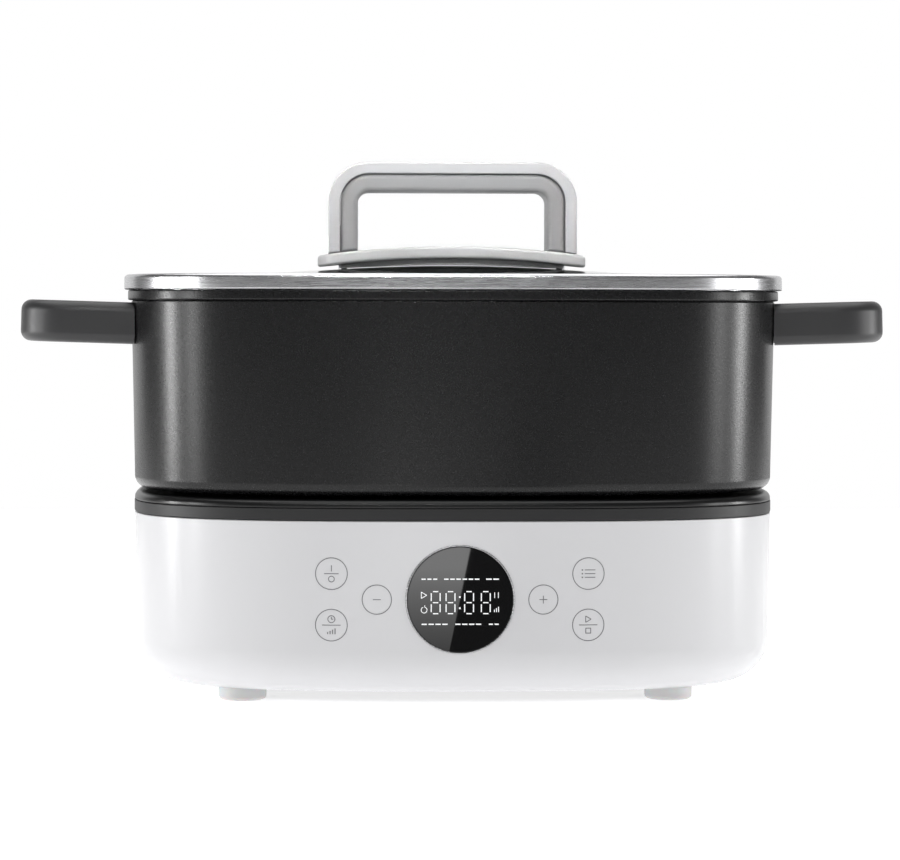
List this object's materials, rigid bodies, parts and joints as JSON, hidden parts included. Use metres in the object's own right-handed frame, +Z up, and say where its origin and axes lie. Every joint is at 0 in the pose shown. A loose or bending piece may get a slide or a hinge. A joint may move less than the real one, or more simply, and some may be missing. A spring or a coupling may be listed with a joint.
{
  "type": "slow cooker",
  "caption": "Countertop slow cooker: white heater base with a round touch display, lift-off dark pan with loop handles, and domed glass lid with arch handle.",
  "frame": {"origin": "on the table, under the middle of the cooker", "axes": "+X to the right as seen from the control panel, the control panel faces -Y, +Z up"},
  "size_m": [0.4402, 0.2606, 0.2704],
  "materials": {
    "white_abs": "gloss white moulded ABS",
    "grey_plastic": "satin light grey moulded plastic",
    "satin_trim": "satin dark grey moulded plastic",
    "gloss_black": "glossy black moulded plastic",
    "nonstick_coating": "fine speckled charcoal non-stick coating on cast aluminium",
    "phenolic": "satin black phenolic",
    "brushed_steel": "stainless steel brushed along its edge",
    "tempered_glass": "clear tempered glass",
    "display_acrylic": "polished black acrylic",
    "foot_silicone": "translucent white silicone",
    "cast_aluminium": "plain cast aluminium",
    "plain_steel": "zinc plated steel",
    "circuit_board": "green solder mask",
    "black_plastic": "fine moulded black plastic",
    "soft_silicone": "grey moulded silicone"
  },
  "bodies": {
    "base": {"base_shell": "white_abs", "bottom_cover": "grey_plastic", "trim_band": "satin_trim", "pan_tray": "gloss_black", "heating_plate": "cast_aluminium", "plate_seal": "soft_silicone", "heating_element": "plain_steel", "heat_shield": "plain_steel", "thermal_fuse": "cast_aluminium", "sensor_bracket": "plain_steel", "power_board": "circuit_board", "relay": "black_plastic", "transformer": "cast_aluminium", "capacitor": "black_plastic", "control_board": "circuit_board", "display_window": "display_acrylic", "display_ring": "brushed_steel", "display_module": "black_plastic", "power_inlet": "black_plastic", "inlet_pin_live": "cast_aluminium", "inlet_pin_earth": "cast_aluminium", "inlet_pin_neutral": "cast_aluminium", "cover_screw_front_left": "plain_steel", "cover_screw_front_right": "plain_steel", "cover_screw_rear_left": "plain_steel", "cover_screw_rear_right": "plain_steel", "foot_front_left": "foot_silicone", "foot_front_right": "foot_silicone", "foot_rear_left": "foot_silicone", "foot_rear_right": "foot_silicone", "touch_pad_on_off": "soft_silicone", "touch_pad_time": "soft_silicone", "touch_pad_minus": "soft_silicone", "touch_pad_plus": "soft_silicone", "touch_pad_mode": "soft_silicone", "touch_pad_start": "soft_silicone"},
    "sensor": {"sensor_cup": "cast_aluminium", "sensor_spring": "plain_steel"},
    "pan": {"pan_body": "nonstick_coating", "pan_handle_left": "phenolic", "pan_handle_right": "phenolic", "pan_bracket_left": "nonstick_coating", "pan_bracket_right": "nonstick_coating", "handle_screw_front_left": "plain_steel", "handle_screw_front_right": "plain_steel", "handle_screw_rear_left": "plain_steel", "handle_screw_rear_right": "plain_steel"},
    "lid": {"lid_glass": "tempered_glass", "lid_rim": "brushed_steel", "lid_gasket": "soft_silicone", "steam_vent": "soft_silicone", "handle_seat": "grey_plastic", "seat_gasket": "grey_plastic", "handle_shell": "white_abs", "handle_grip": "grey_plastic", "lid_screw_left": "plain_steel", "lid_screw_right": "plain_steel", "handle_washer_left": "plain_steel", "handle_washer_right": "plain_steel"}
  },
  "joints": [
    {"name": "pan_lift", "type": "slide", "parent": "base", "child": "pan", "axis": [0, 0, 1], "range_m": [0, 0.15]},
    {"name": "lid_lift", "type": "slide", "parent": "pan", "child": "lid", "axis": [0, 0, 1], "range_m": [0, 0.12]},
    {"name": "sensor_press", "type": "slide", "parent": "base", "child": "sensor", "axis": [0, 0, 1], "range_m": [-0.003, 0], "stiffness_N_per_m": 150, "springref_m": 0.006, "deforming": ["sensor_spring"]}
  ]
}
